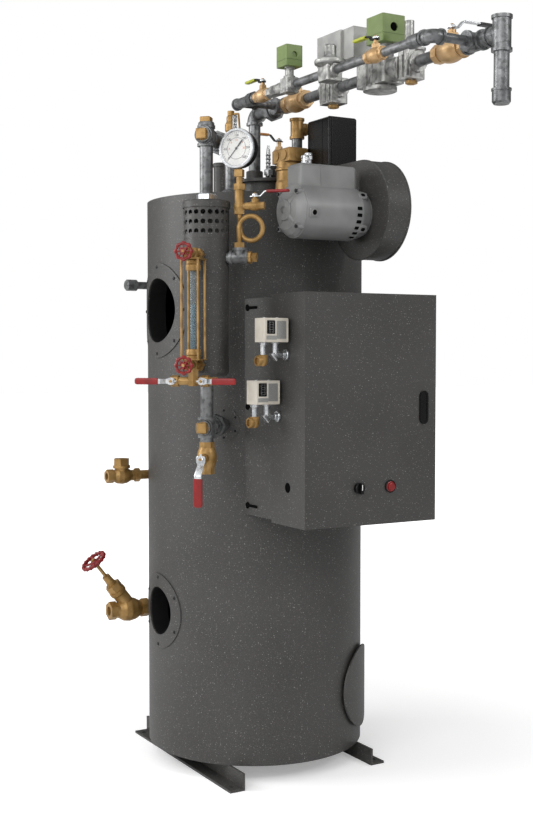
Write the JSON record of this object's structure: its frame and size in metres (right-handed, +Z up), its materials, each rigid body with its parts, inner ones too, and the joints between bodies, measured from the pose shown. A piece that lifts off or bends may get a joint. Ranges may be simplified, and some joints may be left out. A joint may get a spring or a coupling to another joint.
{
  "type": "industrial boiler",
  "caption": "Upright round steam boiler with a top gas train, blower, hinged control cabinet, water column with gauge glass, valves and turning levers.",
  "frame": {"origin": "the shell's axis on the floor, in the middle of the anchor bolts", "axes": "+Z up along the shell's axis, -Y towards the front of the control cabinet, +X to the right of a person facing the cabinet"},
  "size_m": [0.8279, 1.3885, 1.949],
  "materials": {
    "powder_coat": "fine textured charcoal powder coat",
    "dark_lining": "sooted steel",
    "brass": "cast brass",
    "gas_brass": "forged brass",
    "pipe_steel": "grey painted steel pipe",
    "cast_aluminium": "die cast aluminium",
    "plated_steel": "zinc plated steel",
    "green_paint": "olive green enamel",
    "motor_grey": "smooth grey enamel",
    "black_plastic": "gloss black",
    "beige_plastic": "off white moulding",
    "red_plastic": "red dipped plastic",
    "yellow_green_plastic": "yellow green dipped plastic",
    "orange_plastic": "ochre dipped plastic",
    "sight_glass": "clear glass",
    "gauge_black": "black case"
  },
  "bodies": {
    "boiler": {"base_plate": "powder_coat", "blowdown_valve": "brass", "blower_housing": "powder_coat", "blower_motor": "motor_grey", "brass_plugs": "brass", "burner_housing": "powder_coat", "burner_pipe": "pipe_steel", "cabinet_bracket": "powder_coat", "capped_stub": "pipe_steel", "column_blowdown_cock": "brass", "column_pipes": "pipe_steel", "control_cabinet": "powder_coat", "control_fittings": "plated_steel", "feed_check_valve": "brass", "feet": "powder_coat", "gas_cocks": "gas_brass", "gas_valve_bodies": "cast_aluminium", "gauge_glass": "sight_glass", "gauge_tee": "pipe_steel", "gauge_valves": "brass", "green_actuators": "green_paint", "guard_rods": "brass", "handhole_cover": "powder_coat", "ignition_box": "black_plastic", "ignition_electrode": "plated_steel", "inlet_tee": "pipe_steel", "main_gas_pipes": "pipe_steel", "outer_casing": "powder_coat", "pilot_pipes": "pipe_steel", "pilot_valves": "cast_aluminium", "pressure_controls": "beige_plastic", "pressure_gauge": "gauge_black", "pressure_vessel": "dark_lining", "probe_cover": "powder_coat", "rear_probe_cover": "powder_coat", "safety_valve": "brass", "shell_rings": "powder_coat", "siphon": "brass", "steam_fitting": "brass", "test_cock": "brass", "top_plate": "powder_coat", "valve_actuator": "motor_grey", "water_column": "powder_coat"},
    "cabinet_door": {"cabinet_door": "powder_coat", "door_handle": "black_plastic", "reset_lamp": "red_plastic"},
    "selector_knob": {"selector_knob": "black_plastic"},
    "column_blowdown_lever": {"column_blowdown_lever": "red_plastic"},
    "upper_gauge_wheel": {"upper_gauge_wheel": "red_plastic"},
    "lower_gauge_wheel": {"lower_gauge_wheel": "red_plastic"},
    "left_drain_lever": {"left_drain_lever": "red_plastic"},
    "right_drain_lever": {"right_drain_lever": "red_plastic"},
    "test_lever": {"test_lever": "red_plastic"},
    "first_gas_lever": {"first_gas_lever": "yellow_green_plastic"},
    "second_gas_lever": {"second_gas_lever": "yellow_green_plastic"},
    "first_pilot_lever": {"first_pilot_lever": "yellow_green_plastic"},
    "second_pilot_lever": {"second_pilot_lever": "yellow_green_plastic"},
    "top_lever": {"top_lever": "orange_plastic"},
    "blowdown_wheel": {"blowdown_wheel": "red_plastic"}
  },
  "joints": [
    {"name": "cabinet_door_hinge", "type": "hinge", "parent": "boiler", "child": "cabinet_door", "pos_m": [-0.174, -0.537, 1.0045], "axis": [0, 0, -1], "range_deg": [0, 110]},
    {"name": "selector_turn", "type": "hinge", "parent": "cabinet_door", "child": "selector_knob", "pos_m": [-0.017, -0.555, 0.81], "axis": [0, -1, 0], "range_deg": [-90, 0]},
    {"name": "column_blowdown_turn", "type": "hinge", "parent": "boiler", "child": "column_blowdown_lever", "pos_m": [-0.35355, -0.35355, 0.8805], "axis": [-0.7071, -0.7071, 0], "range_deg": [-90, 0]},
    {"name": "upper_gauge_turn", "type": "hinge", "parent": "boiler", "child": "upper_gauge_wheel", "pos_m": [-0.43275, -0.43275, 1.387], "axis": [-0.7071, -0.7071, 0], "range_deg": [-360, 0]},
    {"name": "lower_gauge_turn", "type": "hinge", "parent": "boiler", "child": "lower_gauge_wheel", "pos_m": [-0.43275, -0.43275, 1.116], "axis": [-0.7071, -0.7071, 0], "range_deg": [-360, 0]},
    {"name": "left_drain_turn", "type": "hinge", "parent": "boiler", "child": "left_drain_lever", "pos_m": [-0.44689, -0.38042, 1.077], "axis": [-0.7071, -0.7071, 0], "range_deg": [0, 90]},
    {"name": "right_drain_turn", "type": "hinge", "parent": "boiler", "child": "right_drain_lever", "pos_m": [-0.39244, -0.43487, 1.077], "axis": [-0.7071, -0.7071, 0], "range_deg": [-90, 0]},
    {"name": "test_cock_turn", "type": "hinge", "parent": "boiler", "child": "test_lever", "pos_m": [-0.22946, -0.40835, 1.532], "axis": [0, 0, 1], "range_deg": [-90, 0]},
    {"name": "first_gas_turn", "type": "hinge", "parent": "boiler", "child": "first_gas_lever", "pos_m": [0, -0.231, 1.867], "axis": [0, 0, 1], "range_deg": [0, 90]},
    {"name": "second_gas_turn", "type": "hinge", "parent": "boiler", "child": "second_gas_lever", "pos_m": [0, -0.893, 1.867], "axis": [0, 0, 1], "range_deg": [0, 90]},
    {"name": "first_pilot_turn", "type": "hinge", "parent": "boiler", "child": "first_pilot_lever", "pos_m": [-0.12, -0.256, 1.853], "axis": [0, 0, 1], "range_deg": [0, 90]},
    {"name": "second_pilot_turn", "type": "hinge", "parent": "boiler", "child": "second_pilot_lever", "pos_m": [-0.12, -0.77, 1.853], "axis": [0, 0, 1], "range_deg": [0, 90]},
    {"name": "top_cock_turn", "type": "hinge", "parent": "boiler", "child": "top_lever", "pos_m": [0.116, 0.06, 1.764], "axis": [0, 0, 1], "range_deg": [-90, 0]},
    {"name": "blowdown_turn", "type": "hinge", "parent": "boiler", "child": "blowdown_wheel", "pos_m": [-0.43651, 0.15, 0.55957], "axis": [-0.6157, 0, 0.788], "range_deg": [-360, 0]}
  ]
}
